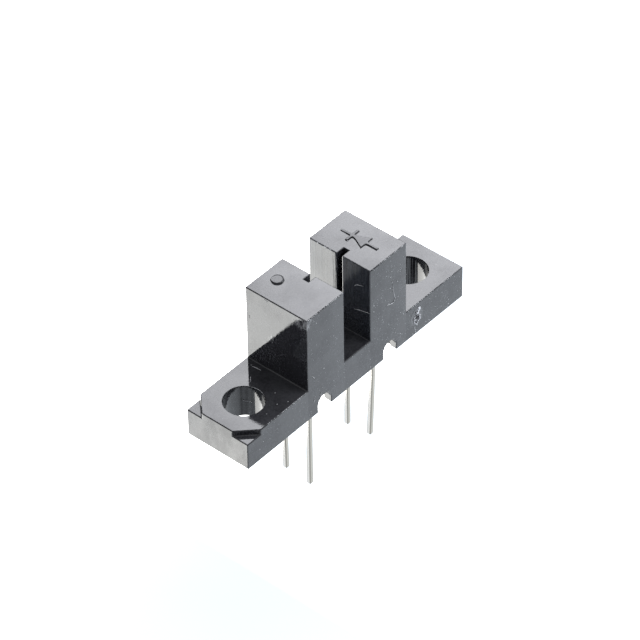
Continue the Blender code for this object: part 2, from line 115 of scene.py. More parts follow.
class PlasticLook(bpy.types.PropertyGroup):
    """The glossy black moulding of the housing."""

    tint: colour("Colour", "Colour of the plastic itself, under its gloss", (0.010, 0.010, 0.013))
    haze: colour("Haze", "Colour of the fine film of dust on the gloss", (0.046, 0.048, 0.054))
    # Settled dust is partly painted light: it lifts the faces that look up.
    settled_dust_and_light: colour("Settled dust", "Colour of the dust film on faces that look up", (0.050, 0.051, 0.056))
    roughness: amount("Roughness", "Roughness of clean gloss", 0.03)
    smudge: amount("Smudge", "Roughness added where the gloss is touched or worn", 0.06)
    grain: size("Grain depth", "Depth of the fine moulded grain", 1.2e-6)
    wave: size("Sink depth", "Depth of the slow waves that cooling leaves in a flat face", 14e-6)
    # Slot haze is rubbing and painted light: it is laid on more strongly towards the top of the slot.
    slot_haze_and_light: colour("Slot haze", "Colour of the rubbed film on the slot's walls", (0.050, 0.057, 0.070))
    rub: place("Rub", "Middle of the rub on the left tower's edge", (-5.7 * MM, -2.6 * MM, 9.5 * MM))
    low_rub: place("Lower rub", "Middle of the half as large rub below", (-5.7 * MM, 0.4 * MM, 6.2 * MM))
    rub_size: size("Rub size", "Radius of the rub on the edge", 1.4 * MM)
    gate: place("Gate", "Middle of the lighter zone round the gate", (6.9 * MM, -3.0 * MM, 1.65 * MM))
    gate_size: size("Gate zone", "Radius of the lighter zone round the mould's gate", 1.0 * MM)
    crown: size("Crown", "How far the middle of each top stands over its ends", 40e-6)
    cross_crown: size("Cross crown", "How far the middle of each top stands over its front and back", 45e-6)
    warp: amount("Warp", "Slope from front to back of the detector tower's outer side", 0.010)
    filmed: amount("Filmed gloss", "Strength of the reflection under a film, 0.5 for clean gloss", 0.43)
    streak: size("Draw mark depth", "Depth of the upright marks that the mould leaves", 2.6e-6)
    slot_streak: size("Slot mark depth", "Depth of the upright marks on the slot's walls", 8e-6)
    bore_streak: size("Hole mark depth", "Depth of the upright marks in the screw holes", 18e-6)
    speck: size("Speck size", "Largest radius of a dust speck", 0.055 * MM)
    speck_colour: colour("Speck colour", "Colour of the dust specks", (0.42, 0.43, 0.45))


class TinLook(bpy.types.PropertyGroup):
    """The tinned leads."""

    # The sheet and cut colours are partly painted light: faces that look along X are painted lighter than faces
    # that look along Y.
    rolled_and_lit: colour("Sheet colour", "Colour of the tin on the two faces of the sheet", (0.60, 0.565, 0.52))
    cut: colour("Cut colour", "Colour of the tin on the two sides that were cut", (0.43, 0.40, 0.35))
    dull: colour("Dull colour", "Colour of the tin in its drawn lines", (0.34, 0.32, 0.285))
    # Painted shade: the corner colour is a dark band along each lead's corners, where its faces meet.
    corner: colour("Corner colour", "Colour of the worn metal along a lead's corners", (0.24, 0.225, 0.195))
    roughness: amount("Roughness", "Roughness of the tin", 0.22)
    line: size("Line depth", "Depth of the drawn lines along a lead", 1.2e-6)


class InnerLook(bpy.types.PropertyGroup):
    """The packages inside the towers, with their chips and wires."""

    clear: colour("Clear epoxy", "Colour of the emitter's epoxy", (0.80, 0.84, 0.90))
    dark: colour("Dark epoxy", "Colour of the detector's epoxy", (0.022, 0.010, 0.016))
    metal: colour("Emitter chip", "Colour of the metallised chip", (0.20, 0.17, 0.16))
    silicon: colour("Detector chip", "Colour of the silicon chip", (0.10, 0.11, 0.14))
    gold: colour("Bond wires", "Colour of the gold wires", (0.83, 0.60, 0.22))
    flow: size("Flow depth", "Depth of the flow marks in the epoxy", 1.5e-6)


class SignShape(bpy.types.PropertyGroup):
    """The raised diode sign on top of the emitter's tower."""

    centre: place("Centre", "Middle of the sign on the tower's top", (3.74 * MM, -0.06 * MM))
    length: size("Length", "Length of the long line", 3.6 * MM)
    width: size("Width", "Length of the short bar and of the arrow's foot", 1.44 * MM)
    bar: size("Bar place", "Distance of the short bar behind the centre", 0.70 * MM)
    arrow: size("Arrow length", "Length of the filled arrow", 1.43 * MM)
    line: size("Line width", "Width of the lines", 0.25 * MM)
    fillet: size("Fillet", "Reach of the rounding where two lines meet", 0.2 * MM)
    rise: size("Rise", "Height of the sign over the tower's top", 0.10 * MM)
    fade: amount("Fade", "Share of its height that the sign loses at the end behind the bar", 0.5)
    soft: size("Edge round", "Width over which an edge of the sign rises", 0.045 * MM)
    step: size("Mesh step", "Distance between two points of the mesh", 0.024 * MM)


class ScarShape(bpy.types.PropertyGroup):
    """The torn plastic that fills the mould gate's recess."""

    centre: place("Centre", "Middle of the scar on the front face, as X and Z", (6.9 * MM, 1.85 * MM))
    radius: size("Plug radius", "Radius of the plastic that fills the recess", 0.70 * MM)
    stub: place("Stub", "Middle of the torn stub, as X and Z", (6.92 * MM, 1.60 * MM))
    width: size("Width", "Width of the torn stub", 0.66 * MM)
    height: size("Height", "Height of the torn stub", 1.02 * MM)
    rough: size("Roughness", "Height of the torn ridges", 0.04 * MM)
    rim: size("Rim width", "Width of the bead of flash round the stub", 0.13 * MM)
    tear: size("Tear size", "Radius of the largest crumb of torn plastic", 0.24 * MM)
    seed: IntProperty(name="Seed", description="Changes the pattern of the torn ridges", default=7)


class DotShape(bpy.types.PropertyGroup):
    """The round-rimmed cap on the index dot, on top of the detector's tower."""

    centre: place("Centre", "Middle of the dot on the tower's top", (-3.6 * MM, 1.66 * MM))
    diameter: size("Diameter", "Diameter of the cap halfway up its wall", 1.01 * MM)
    rise: size("Rise", "Height of the cap's rim over the tower's top", 0.135 * MM)
    soft: size("Edge round", "Width over which the cap's wall rises, on each side", 0.04 * MM)
    dish: size("Dish", "How far the middle of the cap sinks", 0.025 * MM)
    fillet: size("Corner fillet", "Radius of the fillets in the housing's inner corners", 0.05 * MM)


class DustShape(bpy.types.PropertyGroup):
    """Short fibres, crumbs and light wear along the edges."""

    fibre: size("Fibre radius", "Radius of a dust fibre", 0.03 * MM)
    crumb: size("Crumb radius", "Radius of a usual crumb", 0.05 * MM)
    wear: size("Wear radius", "Radius of a light chip on an edge", 0.045 * MM)
    wear_count: IntProperty(name="Chips", description="Number of light chips on the edges", default=150)
    tint: colour("Colour", "Colour of dust and of scratched plastic", (0.62, 0.63, 0.65))
    seed: IntProperty(name="Seed", description="Changes the places of the chips", default=11)


class StageLook(bpy.types.PropertyGroup):
    """Floor, light and camera."""

    floor_size: size("Floor size", "Length of the floor's side", 3.0)
    floor_gap: size("Floor gap", "Distance of the floor under the longest lead", 0.2 * MM)
    floor_tint: colour("Floor colour", "Colour of the floor", (0.2, 0.2, 0.2))
    floor_glow: amount("Floor glow", "Light that the floor gives off, as a light table does", 1.3, high=5)
    floor_end: size("Glow end", "Distance towards the camera at which the floor's own light ends", 20 * MM)
    left_glow: amount("Left glow", "Light that the floor gives off at the front left", 0.9, high=5)
    left_edge: size("Left edge", "Place along X where the front left of the floor starts", -12.8 * MM)
    pool_glow: amount("Pool glow", "Extra light in the pool behind the part", 4.3, high=9)
    pool_far: amount("Far pool glow", "Extra light in the far part of the pool", 3.65, high=9)
    pool_right: amount("Right pool glow", "Light that the pool gains towards its right", 0.5, high=9)
    cool: colour("Floor light", "Colour of the floor's light", (0.86, 0.93, 1.0))
    warm: colour("Pool light", "Colour of the light in the pool", (1.0, 1.0, 0.97))
    pool_edge: size("Pool edge", "Place along Y where the pool of light starts", 4.0 * MM)
    pool_centre: place("Pool centre", "Middle of the pool of light on the floor", (-20 * MM, 40 * MM))
    pool_inner: size("Pool inner radius", "Radius inside which the pool is at its full light", 49 * MM)
    pool_outer: size("Pool outer radius", "Radius at which the pool of light ends", 57 * MM)
    dim: amount("Room light", "Light that comes from every side", 0.42, high=5)
    key: amount("Key light", "Light of the soft box behind the part, which the tops reflect", 6.25, high=20)
    side: amount("Side light", "Light of the soft box at the front right", 5.0, high=20)
    azimuth: angle("Azimuth", "Camera's turn round the part", -48.727)
    elevation: angle("Elevation", "Camera's height as an angle", 42.223)
    roll: angle("Roll", "Camera's lean to the side", -0.962)
    distance: size("Distance", "Distance from the camera to the point it looks at", 311.23 * MM)
    target: place("Target", "Point that the camera looks at", (0.0, 0.0, 4.0 * MM))
    offset: place("Offset", "Camera's shift to its right and up", (-0.527 * MM, 0.353 * MM))
    lens: FloatProperty(
        name="Lens", description="Focal length on a 36 mm sensor", default=233.07, unit="CAMERA"
    )


class SwitchLooks(bpy.types.PropertyGroup):
    """All the values of this add-on."""

    plastic: PointerProperty(type=PlasticLook)
    tin: PointerProperty(type=TinLook)
    inner: PointerProperty(type=InnerLook)
    sign: PointerProperty(type=SignShape)
    scar: PointerProperty(type=ScarShape)
    dot: PointerProperty(type=DotShape)
    dust: PointerProperty(type=DustShape)
    stage: PointerProperty(type=StageLook)


# Meshes


def smooth(value, low, high):
    """Smooth step: 0 below low, 1 above high, and 3t^2 - 2t^3 of the share t between them."""
    t = np.clip((value - low) / (high - low), 0.0, 1.0)
    return t * t * (3.0 - 2.0 * t)


def torus_shape(rings):
    """Closed skin over rings of points whose last ring joins the first."""
    rows, columns = rings.shape[:2]
    row, column = np.meshgrid(np.arange(rows), np.arange(columns), indexing="ij")
    below, right = (row + 1) % rows, (column + 1) % columns
    row, below = row * columns, below * columns
    corners = [row + column, row + right, below + right, below + column]
    return rings.reshape(-1, 3), [np.stack(corners, axis=-1).reshape(-1, 4)]


def grid_faces(rows, columns, closed):
    """Quads between neighbours of a rows by columns grid; closed joins the last column to the first."""
    row = np.arange(rows - 1)[:, None]
    column = np.arange(columns if closed else columns - 1)[None, :]
    right = (column + 1) % columns
    a, b = row * columns + column, row * columns + right
    c, d = (row + 1) * columns + right, (row + 1) * columns + column
    return np.stack([a, b, c, d], axis=-1).reshape(-1, 4)


def ring_shape(rings):
    """Closed skin over rings of points: quads between rings, and a fan to the middle of each end ring."""
    rows, columns = rings.shape[:2]
    points = np.vstack([rings.reshape(-1, 3), rings[0].mean(0), rings[-1].mean(0)])
    around = np.arange(columns)
    onward = (around + 1) % columns
    start = np.stack([onward, around, np.full(columns, rows * columns)], axis=-1)
    last = (rows - 1) * columns
    end = np.stack([last + around, last + onward, np.full(columns, rows * columns + 1)], axis=-1)
    return points, [grid_faces(rows, columns, True), start, end]


def slab_shape(x, y, z, bottom):
    """Closed block under the height field z(x, y): its top, a skirt down to bottom, and a fan below."""
    rows, columns = z.shape
    top = np.stack([x, y, z], axis=-1).reshape(-1, 3)
    index = np.arange(rows * columns).reshape(rows, columns)
    rim = np.concatenate([index[0, :-1], index[:-1, -1], index[-1, :0:-1], index[:0:-1, 0]])
    low = top[rim].copy()
    low[:, 2] = bottom
    count = len(rim)
    under = rows * columns + np.arange(count)
    centre = rows * columns + count
    points = np.vstack([top, low, low.mean(0)])
    skirt = np.stack([np.roll(rim, -1), rim, under, np.roll(under, -1)], axis=-1)
    fan = np.stack([np.roll(under, -1), under, np.full(count, centre)], axis=-1)
    return points, [grid_faces(rows, columns, False), skirt, fan]


def joined(shapes):
    """One list of points and faces from several shapes, each shape's faces counted on from the last."""
    points = np.vstack([shape[0] for shape in shapes])
    starts = np.cumsum([0] + [len(shape[0]) for shape in shapes[:-1]])
    faces = [part + start for start, shape in zip(starts, shapes) for part in shape[1]]
    return points, faces


def signed_volume(points, faces):
    """Volume inside the faces by the divergence theorem: the sum of a . (b x c) / 6 over their triangles."""
    total = 0.0
    for part in faces:
        for k in range(1, part.shape[1] - 1):
            a, b, c = points[part[:, 0]], points[part[:, k]], points[part[:, k + 1]]
            total += float(np.einsum("ij,ij->i", a, np.cross(b, c)).sum()) / 6.0
    return total


def add_piece(name, shape, material, slot="black_plastic"):
    """Makes a piece from points and faces that point outwards, and, when slot is set, lets it ride on the body."""
    points, faces = shape
    if signed_volume(points, faces) < 0:
        faces = [part[:, ::-1] for part in faces]
    mesh = bpy.data.meshes.new(name)
    mesh.from_pydata(points.tolist(), [], [face for part in faces for face in part.tolist()])
    mesh.polygons.foreach_set("use_smooth", np.ones(len(mesh.polygons), bool))
    mesh.materials.append(material)
    mesh.update()
    piece = bpy.data.objects.new(name, mesh)
    bpy.context.scene.collection.objects.link(piece)
    if slot:
        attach(piece, BODY)
    return piece


def curve_through(points, steps):
    """Catmull-Rom curve: between two points, the cubic whose slopes are half the step between neighbours."""
    points = np.asarray(points, float)
    padded = np.vstack([2 * points[0] - points[1], points, 2 * points[-1] - points[-2]])
    t = np.linspace(0.0, 1.0, steps, endpoint=False)[None, :, None]
    p0, p1, p2, p3 = (padded[k:len(padded) - 3 + k][:, None, :] for k in range(4))
    cubic = 2 * p1 + (p2 - p0) * t + (2 * p0 - 5 * p1 + 4 * p2 - p3) * t**2
    cubic = cubic + (3 * p1 - p0 - 3 * p2 + p3) * t**3
    return np.vstack([cubic.reshape(-1, 3) / 2, points[-1]])


def fibre_shape(points, radius, out):
    """Round thread along a curve: circles of radius r(t) in the plane across it, thin at both ends.

    r(t) is the radius times the square root of sin(pi t), and t runs from end to end. The curve lies
    half a radius over the face whose outward direction is given, so that the thread lies on the face.
    """
    path = curve_through(points, 5) + np.asarray(out) * radius * 0.5
    t = np.linspace(0.0, 1.0, len(path))
    along = np.gradient(path, axis=0)
    along /= np.linalg.norm(along, axis=1)[:, None]
    side = np.cross(along, np.asarray(out, float))
    side /= np.linalg.norm(side, axis=1)[:, None]
    up = np.cross(side, along)
    r = radius * np.sqrt(np.sin(np.pi * np.clip(t, 0.03, 0.97)))
    turn = np.linspace(0.0, 2 * np.pi, 6, endpoint=False)
    ring = np.cos(turn)[None, :, None] * side[:, None] + np.sin(turn)[None, :, None] * up[:, None]
    return ring_shape(path[:, None] + ring * r[:, None, None])


def crumb_shape(centre, radii, rng):
    """Small lump: an ellipsoid whose radius is multiplied by 1 plus a random share at each point."""
    height = np.linspace(0.15, 0.85, 4)[:, None] * np.pi
    turn = np.linspace(0.0, 2 * np.pi, 7, endpoint=False)[None, :]
    ball = np.stack(
        [np.sin(height) * np.cos(turn), np.sin(height) * np.sin(turn), np.cos(height) + 0 * turn], axis=-1
    )
    lump = 1 + rng.uniform(-0.3, 0.3, ball.shape[:2])[..., None]
    return ring_shape(np.asarray(centre) + ball * lump * np.asarray(radii))


def box_distance(x, y, centre, half):
    """Distance outside a flat rectangle, below 0 inside it."""
    dx, dy = np.abs(x - centre[0]) - half[0], np.abs(y - centre[1]) - half[1]
    return np.hypot(np.maximum(dx, 0), np.maximum(dy, 0)) + np.minimum(np.maximum(dx, dy), 0)


def soft_least(a, b, reach):
    """Smaller of two distances, rounded where they differ by less than reach: less reach h^2 / 4.

    h is 1 minus the difference over the reach, and 0 where that is below 0.
    """
    h = np.maximum(1 - np.abs(a - b) / reach, 0)
    return np.minimum(a, b) - reach * h * h / 4


def arrow_distance(x, y, foot, length, half):
    """Distance from a filled arrow that points to +Y, as the largest distance past its three sides."""
    slope = math.hypot(length, half)
    side = (np.abs(x - foot[0]) * length + (y - foot[1] - length) * half) / slope
    return np.maximum(side, foot[1] - y)


def sign_shape(shape):
    """Height field of the diode sign, sunk a little into the tower's top where there is no sign.

    d is the rounded least distance to the long line, the bar and the arrow. The height is the rise times the
    smooth step of -d over the soft edge. The rise is less by a smooth step from the bar to the line's end.
    """
    cx, cy = shape.centre
    half_x, half_y = shape.width / 2 + 4 * shape.soft, shape.length / 2 + 4 * shape.soft
    x = np.linspace(cx - half_x, cx + half_x, int(2 * half_x / shape.step))
    y = np.linspace(cy - half_y, cy + half_y, int(2 * half_y / shape.step))
    x, y = np.meshgrid(x, y, indexing="ij")
    thin = shape.line / 2
    line = box_distance(x, y, (cx, cy), (thin, shape.length / 2))
    bar = box_distance(x, y, (cx, cy + shape.bar), (shape.width / 2, thin))
    arrow = arrow_distance(x, y, (cx, cy + shape.bar - shape.arrow), shape.arrow, shape.width / 2)
    d = soft_least(soft_least(line, bar, shape.fillet / 2), arrow, shape.fillet)
    sunk = 2 * shape.soft
    rise = shape.rise * (1 - shape.fade * smooth(y, cy + shape.bar, cy + shape.length / 2))
    z = TOWER_TOP - sunk + (rise + sunk) * smooth(-d, -shape.soft, shape.soft)
    return slab_shape(x, y, z, TOWER_TOP - 3 * sunk)


def scar_shape(shape, depth):
    """Plug of torn plastic in the gate's recess, as rings round its middle, a hair proud of the face.

    At the share s of the way out it stands off by ridges: sines of the turn and of s with random phases,
    times the roughness and the smooth step of the stub's outline less the distance from the middle.
    """
    rng = np.random.default_rng(shape.seed)
    cx, cz = shape.centre
    turn = np.linspace(0.0, 2 * np.pi, 64, endpoint=False)[None, :]
    share = np.linspace(0.02, 1.0, 36)[:, None]
    phase = rng.uniform(0, 2 * np.pi, 4)
    x, z = shape.radius * share * np.cos(turn), shape.radius * share * np.sin(turn)
    stub = np.hypot(2 * (x + cx - shape.stub[0]) / shape.width, 2 * (z + cz - shape.stub[1]) / shape.height)
    ridge = np.sin(14 * share + 2 * turn + phase[0]) + np.sin(23 * share - 5 * turn + phase[1])
    ridge = (ridge + np.sin(37 * share + 9 * turn + phase[2])) / 3
    off = 0.008 * MM + shape.rough * np.maximum(ridge, -0.5) * smooth(1.1 - stub, 0.0, 0.5)
    front = np.stack([cx + x, FRONT - off, cz + z], axis=-1)
    back = front[-1:].copy()
    back[..., 1] = FRONT + depth
    return ring_shape(np.concatenate([front, back]))


def scar_rim_shape(shape):
    """Bead of torn flash round the stub: a circle carried round an ellipse.

    Its radius and its distance from the middle are multiplied by 1 plus sines of the turn.
    """
    rng = np.random.default_rng(shape.seed + 1)
    turn = np.linspace(0.0, 2 * np.pi, 60, endpoint=False)[:, None]
    phase = rng.uniform(0, 2 * np.pi, 4)
    wobble = 1 + 0.08 * np.sin(3 * turn + phase[0]) + 0.06 * np.sin(7 * turn + phase[1])
    thick = shape.rim / 2 * (1 + 0.4 * np.sin(4 * turn + phase[2]) + 0.35 * np.sin(9 * turn + phase[3]))
    around = np.linspace(0.0, 2 * np.pi, 8, endpoint=False)[None, :]
    out = wobble + thick * np.cos(around) * 2 / shape.width
    cx, cz = shape.stub
    x = cx + shape.width / 2 * out * np.cos(turn)
    z = cz + shape.height / 2 * out * np.sin(turn)
    y = FRONT - thick * (0.4 + 0.8 * np.sin(around)) + 0 * turn
    return torus_shape(np.stack([x, y, z], axis=-1))


def cap_shape(shape):
    """Disc with a soft foot and rim on the index dot: a profile carried round the dot's axis.

    At the distance r from the axis the profile stands over the tower's top by the rise times the smooth
    step of the radius less r over the soft edge, less the dish times the smooth step of it from one to
    three soft edges, which leaves a low rim round the top.
    """
    radius = shape.diameter / 2
    inward = shape.soft * np.concatenate([[-1.5], np.linspace(-1.5, 3.5, 26)])
    r = np.concatenate([radius - inward, (radius - inward[-1]) * np.linspace(0.7, 0.1, 3)])
    rise = smooth(radius - r, -shape.soft, shape.soft)
    sink = shape.dish * smooth(radius - r, shape.soft, 3 * shape.soft)
    z = TOWER_TOP - 0.02 * MM + (shape.rise + 0.02 * MM) * rise - sink
    z[0] = TOWER_TOP - 2 * shape.soft
    turn = np.linspace(0.0, 2 * np.pi, 48, endpoint=False)[None, :]
    cx, cy = shape.centre
    x, y = cx + r[:, None] * np.cos(turn), cy + r[:, None] * np.sin(turn)
    return ring_shape(np.stack([x, y, z[:, None] + 0 * turn], axis=-1))


def corner_shape(start, end, first, second, radius):
    """Small hollow fillet along an inner corner, as its three-sided profile carried along the corner.

    first and second are the outward directions of the two faces. The hollow side is a quarter circle
    round the point one radius out from both faces.
    """
    start, end = np.asarray(start, float), np.asarray(end, float)
    first, second = np.asarray(first, float), np.asarray(second, float)
    turn = np.linspace(0.0, np.pi / 2, 5)[:, None]
    hollow = (1 - np.sin(turn)) * first + (1 - np.cos(turn)) * second
    profile = np.vstack([hollow, -0.3 * (first + second)]) * radius
    share = np.linspace(0.0, 1.0, 9)[:, None, None]
    return ring_shape(start + (end - start) * share + profile[None])


# Materials


class Graph:
    """A node tree and short ways to add to it."""

    def __init__(self, tree):
        self.tree = tree
        self.across = 0

    def add(self, kind, inputs=(), **settings):
        """Adds a node, sets its settings and links or sets its inputs by name or number."""
        node = self.tree.nodes.new(kind)
        node.location = (self.across, 0)
        self.across += 180
        for name, value in settings.items():
            setattr(node, name, value)
        for name, value in dict(inputs).items():
            self.feed(node.inputs[name], value)
        return node

    def feed(self, socket, value):
        """Links a socket to an output, or sets it to a value."""
        if isinstance(value, bpy.types.NodeSocket):
            self.tree.links.new(value, socket)
        else:
            socket.default_value = value

    def math(self, operation, a, b=0.0, c=0.0):
        """One sum on numbers."""
        return self.add("ShaderNodeMath", {0: a, 1: b, 2: c}, operation=operation).outputs[0]

    def times(self, first, *others):
        """Product of numbers."""
        for other in others:
            first = self.math("MULTIPLY", first, other)
        return first

    def less(self, a, b):
        """1 where a number is below another and 0 elsewhere."""
        return self.math("LESS_THAN", a, b)

    def rest(self, share):
        """What a share leaves of 1."""
        return self.math("SUBTRACT", 1.0, share)

    def between(self, share, first, second):
        """Mixes two numbers by a share from 0 to 1."""
        return self.math("MULTIPLY_ADD", share, self.math("SUBTRACT", second, first), first)

    def span(self, value, low, high, to_low=0.0, to_high=1.0, kind="SMOOTHSTEP"):
        """Carries a number from one span of values to another, softly at both ends."""
        inputs = {0: value, 1: low, 2: high, 3: to_low, 4: to_high}
        return self.add("ShaderNodeMapRange", inputs, interpolation_type=kind, clamp=True).outputs[0]

    def line(self, value, low, high, to_low=0.0, to_high=1.0):
        """Carries a number from one span of values to another in a straight line."""
        return self.span(value, low, high, to_low, to_high, "LINEAR")

    def vector(self, operation, a, b=(0.0, 0.0, 0.0)):
        """A number worked out from one vector or two."""
        return self.add("ShaderNodeVectorMath", {0: a, 1: b}, operation=operation).outputs["Value"]

    def parts(self, vector):
        """X, Y and Z of a vector."""
        return self.add("ShaderNodeSeparateXYZ", {0: vector}).outputs

    def facing(self):
        """X, Y and Z of the direction that the surface looks in, in object space."""
        return self.parts(self.add("ShaderNodeTexCoord").outputs["Normal"])

    def stretched(self, scale=(1.0, 1.0, 1.0), turn=(0.0, 0.0, 0.0)):
        """Object coordinates, turned and stretched."""
        place_ = self.add("ShaderNodeTexCoord").outputs["Object"]
        inputs = {"Vector": place_, "Scale": scale, "Rotation": turn}
        return self.add("ShaderNodeMapping", inputs).outputs[0]

    def noise(self, place_, scale, detail=1.0, rough=0.5):
        """Soft random pattern; scale is in waves per metre."""
        inputs = {"Vector": place_, "Scale": scale, "Detail": detail, "Roughness": rough}
        return self.add("ShaderNodeTexNoise", inputs).outputs[0]

    def cells(self, place_, scale, output="Distance"):
        """Random cells; scale is in cells per metre."""
        return self.add("ShaderNodeTexVoronoi", {"Vector": place_, "Scale": scale}).outputs[output]

    def bump(self, height, distance, normal=None):
        """Tilts the surface by a height pattern whose full step is the distance."""
        inputs = {"Height": height, "Distance": distance, "Strength": 1.0}
        if normal:
            inputs["Normal"] = normal
        return self.add("ShaderNodeBump", inputs).outputs[0]

    def blend(self, share, first, second):
        """Mixes two colours by a share from 0 to 1."""
        node = self.add("ShaderNodeMix", data_type="RGBA")
        sockets = [s for s in node.inputs if s.enabled]
        self.feed(sockets[0], share)
        self.feed(sockets[1], first)
        self.feed(sockets[2], second)
        return [s for s in node.outputs if s.enabled][0]

    def shade(self, sockets):
        """Ends a material in a Principled shader with these values and links."""
        shader = self.add("ShaderNodeBsdfPrincipled", sockets)
        self.add("ShaderNodeOutputMaterial", {"Surface": shader.outputs[0]})


def rgba(colour_, share=1.0):
    """A colour times a share, with full cover."""
    return (*(share * part for part in colour_), 1.0)


def new_material(name):
    """An empty material and its graph."""
    material = bpy.data.materials.new(name)
    material.use_nodes = True
    material.node_tree.nodes.clear()
    return material, Graph(material.node_tree)


def dust_specks(g, spot, radius, scale, share):
    """1 inside random balls, at most one per cell and in four cells of ten, and 0 elsewhere.

    share is the size of the balls, from 0 to 1, as a pattern over the surface.
    """
    chance = g.add("ShaderNodeSeparateColor", {0: g.cells(spot, scale, "Color")}).outputs[0]
    reach = g.line(chance, 0.6, 1.0, 0.0, radius * scale)
    return g.less(g.cells(spot, scale), g.times(reach, share))


def near_holes(g, x, y):
    """1 on the walls of the two screw holes and 0 elsewhere."""
    across = g.math("SUBTRACT", g.math("ABSOLUTE", x), HOLE_X)
    flat = g.add("ShaderNodeCombineXYZ", {0: across, 1: y}).outputs[0]
    return g.less(g.vector("LENGTH", flat), HOLE_RADIUS + 0.04 * MM)


def inside_slot(g, x, z):
    """1 on the two walls of the slot between the towers and 0 elsewhere."""
    near = g.less(g.math("ABSOLUTE", x), SLOT_HALF + 0.05 * MM)
    return g.times(near, g.math("GREATER_THAN", z, FLANGE_TOP + 0.02 * MM))


def along_tops(g, x):
    """0 to 1 from left to right over each flange and each tower, and 0 in the slot."""
    end = HOUSING_HIGH.x
    tops = ((-end, -TOWER_EDGE), (-TOWER_EDGE, -SLOT_HALF), (SLOT_HALF, TOWER_EDGE), (TOWER_EDGE, end))
    share = 0.0
    for low, high in tops:
        share = g.math("MULTIPLY_ADD", g.line(x, low, high), g.less(x, high), share)
    return share


def arch(g, share):
    """Height of a low arch at the share u of the way over it: 4u(1 - u)."""
    return g.times(share, g.math("SUBTRACT", 4.0, g.times(share, 4.0)))


def read_surface(g, look):
    """Place and direction of a point of the housing, and the patterns that its finish uses more than once.

    left and up are 1 where the surface looks that way, steep is 1 less up, right is 1 in the right half, band is
    1 on a part of each hole's wall, and speck is 1 on dust, which lies mostly on the front.
    """
    s = SimpleNamespace(plain=g.stretched(), upright=g.stretched((1.0, 1.0, 0.02)))
    s.x, s.y, s.z = g.parts(s.plain)
    side, front, top = g.facing()
    s.left, s.right = g.less(side, -0.9), g.math("GREATER_THAN", s.x, 0.0)
    s.up = g.span(top, 0.6, 0.95)
    s.steep = g.rest(s.up)
    s.along = along_tops(g, s.x)
    s.slot, s.hole = inside_slot(g, s.x, s.z), near_holes(g, s.x, s.y)
    s.streak = g.noise(g.stretched((1.0, 1.0, 0.05)), 5200.0, 3.0, 0.6)
    s.film = g.noise(s.plain, 6500.0, 3.0, 0.7)
    s.patch = g.noise(s.plain, 650.0, 4.0, 0.65)
    s.ribs = g.noise(s.upright, 7000.0)
    turned = g.times(g.span(front, -0.83, -0.77), g.span(front, -0.24, -0.16, 1.0, 0.0))
    s.band = g.times(turned, s.hole, g.less(side, 0.0))
    dusty = g.times(g.span(front, -0.9, -0.3, 1.0, 0.4), g.rest(s.slot), g.span(s.x, 0.0, 3 * MM, 0.75, 1.0))
    s.speck = 0.0
    for part, scale in ((1.0, 2600.0), (0.6, 5200.0), (0.45, 9000.0)):
        s.speck = g.math("MAXIMUM", s.speck, dust_specks(g, s.plain, look.speck * part, scale, dusty))
    return s


def plastic_colour(g, look, s):
    """Black under a film of dust, which is thicker to the right and front of the tops, where it is also painted
    light, and lighter high in the slot, as painted light.

    Two rubbed spots, a zone round the gate and the specks are pale.
    """
    haze = g.times(g.span(s.film, 0.38, 0.7), g.span(s.patch, 0.3, 0.7, 0.35, 1.0))
    base = g.blend(haze, rgba(look.tint), rgba(look.haze))
    # Painted light: the streaky film on the slot's walls grows towards the top of the slot, where more light
    # reaches.
    lit_high_in_slot = g.span(s.z, 5.0 * MM, TOWER_TOP, 0.0, 0.6)
    worn = g.math("MULTIPLY_ADD", g.span(s.streak, 0.4, 0.66), lit_high_in_slot, 0.4)
    base = g.blend(g.times(worn, s.slot), base, rgba(look.slot_haze_and_light))
    # Dust and painted light: the film on faces that look up is thicker to the right of each top and towards the
    # front, lifting where the tower shades the left flange.
    settled_dust_and_light = g.times(g.span(s.patch, 0.3, 0.6, 0.6, 1.0), g.span(s.film, 0.3, 0.7, 0.6, 1.0))
    thick = g.math("ADD", g.line(s.along, 0.0, 1.0, 0.35, 0.75), g.line(s.y, FRONT, -FRONT, 0.5, 0.0))
    base = g.blend(g.times(s.up, settled_dust_and_light, thick), base, rgba(look.settled_dust_and_light))
    lower = g.times(g.vector("DISTANCE", s.plain, look.low_rub), 2.0)
    reach = g.math("MINIMUM", g.vector("DISTANCE", s.plain, look.rub), lower)
    scuff = g.noise(g.stretched((1.0, 1.0, 0.35), (0.6, 0.0, 0.0)), 3200.0, 4.0, 0.75)
    rubbed = g.times(g.span(reach, 0.3 * look.rub_size, look.rub_size), -0.25)
    rubbed = g.span(g.math("ADD", scuff, rubbed), 0.42, 0.6, 0.0, 0.45)
    gate, wide = g.vector("DISTANCE", s.plain, look.gate), look.gate_size
    zone = g.times(g.span(gate, 0.33 * wide, 0.5 * wide, 0.0, 0.2), g.span(gate, 0.5 * wide, wide, 1.0, 0.0))
    bruised = g.times(zone, g.span(s.film, 0.3, 0.6))
    for share in (g.times(rubbed, s.steep), g.times(bruised, s.steep), s.speck):
        base = g.blend(share, base, rgba(look.speck_colour))
    return base


